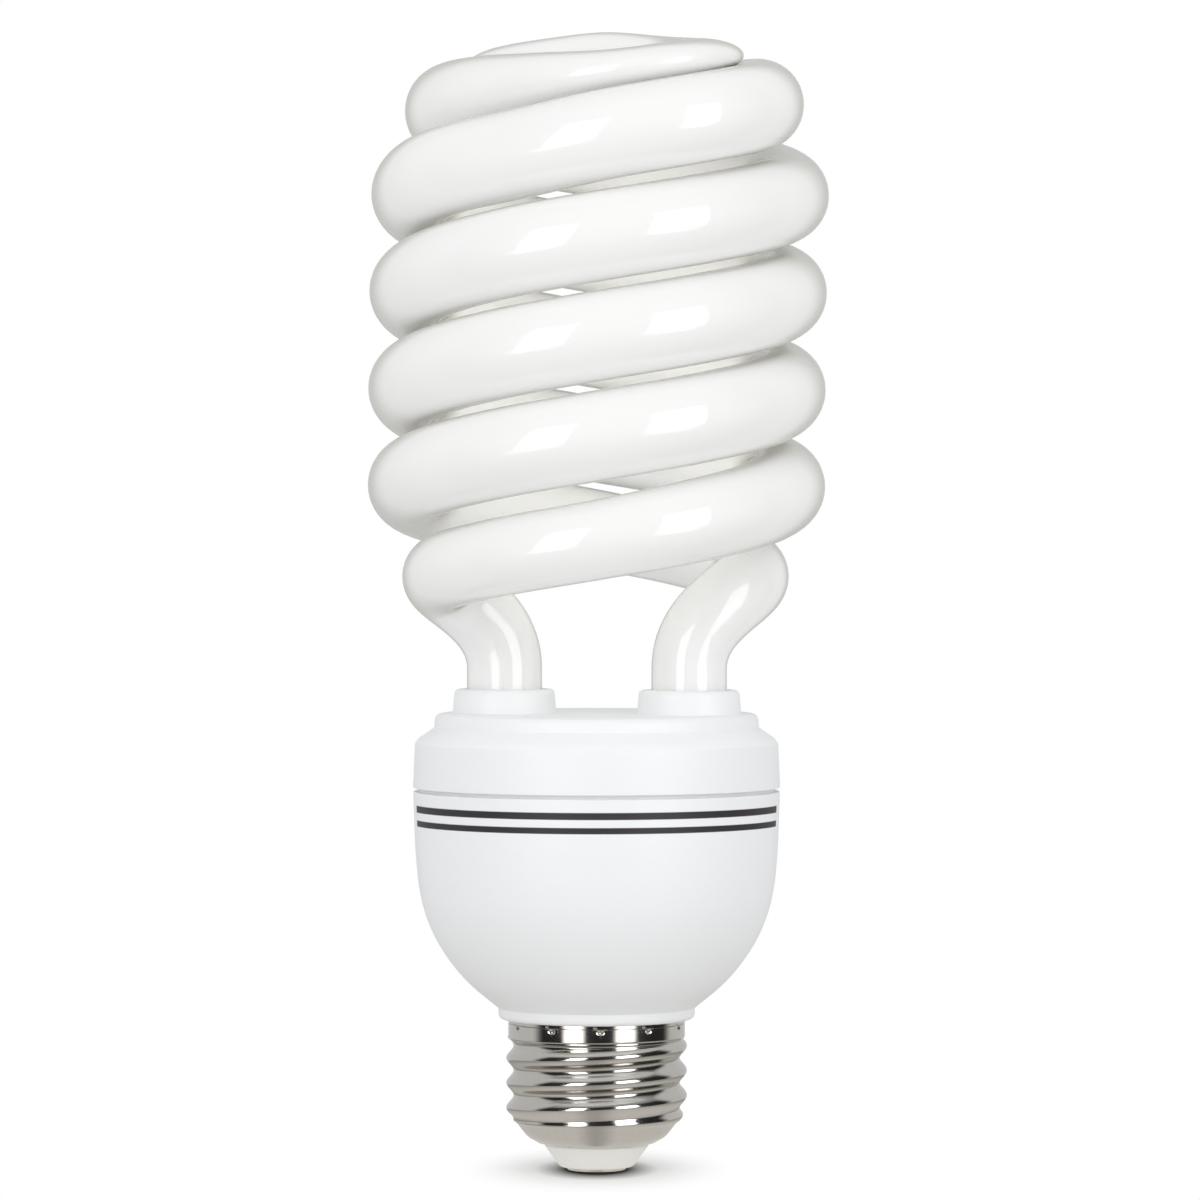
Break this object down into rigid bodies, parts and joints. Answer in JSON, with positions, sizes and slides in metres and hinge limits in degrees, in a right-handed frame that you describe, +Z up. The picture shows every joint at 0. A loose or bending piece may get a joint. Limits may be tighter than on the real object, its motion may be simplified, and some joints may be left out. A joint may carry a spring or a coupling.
{
  "type": "spiral energy saving bulb",
  "caption": "Double-helix fluorescent tube on a stepped, bowl-shaped white housing with a standard screw cap and centre contact.",
  "frame": {"origin": "centre of the underside of the centre contact, the lowest point of the lamp", "axes": "+Z up the lamp's axis from the cap to the crown of the tube; +X towards the leg collar on the right in the picture, -Y towards the picture's camera"},
  "size_m": [0.0673, 0.0668, 0.1659],
  "materials": {
    "coated_glass": "clear glass with an opaque white coat on its inner wall",
    "white_cement": "matt white cement",
    "white_plastic": "smooth white moulding with a soft gloss",
    "nickel_plate": "bright nickel plate",
    "cream_insulator": "smooth off-white insulator",
    "contact_metal": "tinned contact",
    "board_laminate": "paper laminate",
    "tinned_metal": "tinned wire",
    "ferrite": "dark sintered ferrite",
    "black_plastic": "black moulding",
    "enamelled_copper": "enamelled wire",
    "can_aluminium": "drawn can",
    "sleeve_plastic": "shrunk sleeve",
    "dipped_resin": "dipped resin",
    "resistor_body": "lacquered ceramic",
    "lead_sheath": "soft sheath"
  },
  "bodies": {
    "root": {"glass_spiral": "coated_glass", "tube_cement": "white_cement", "upper_cover": "white_plastic", "lower_housing": "white_plastic", "screw_shell": "nickel_plate", "cap_insulator": "cream_insulator", "centre_contact": "contact_metal", "driver_board": "board_laminate", "lead_pins": "tinned_metal", "filament_leads": "tinned_metal", "choke_core": "ferrite", "choke_bobbin": "black_plastic", "choke_winding": "enamelled_copper", "smoothing_capacitor": "can_aluminium", "capacitor_sleeve": "sleeve_plastic", "resonance_capacitor": "dipped_resin", "coupling_capacitor": "dipped_resin", "drive_ring": "ferrite", "drive_windings": "enamelled_copper", "power_transistors": "black_plastic", "line_choke_core": "ferrite", "line_choke_winding": "enamelled_copper", "rectifier_diodes": "black_plastic", "resistors": "resistor_body", "fusible_resistor": "resistor_body", "contact_lead": "tinned_metal", "shell_lead": "lead_sheath"}
  },
  "joints": []
}
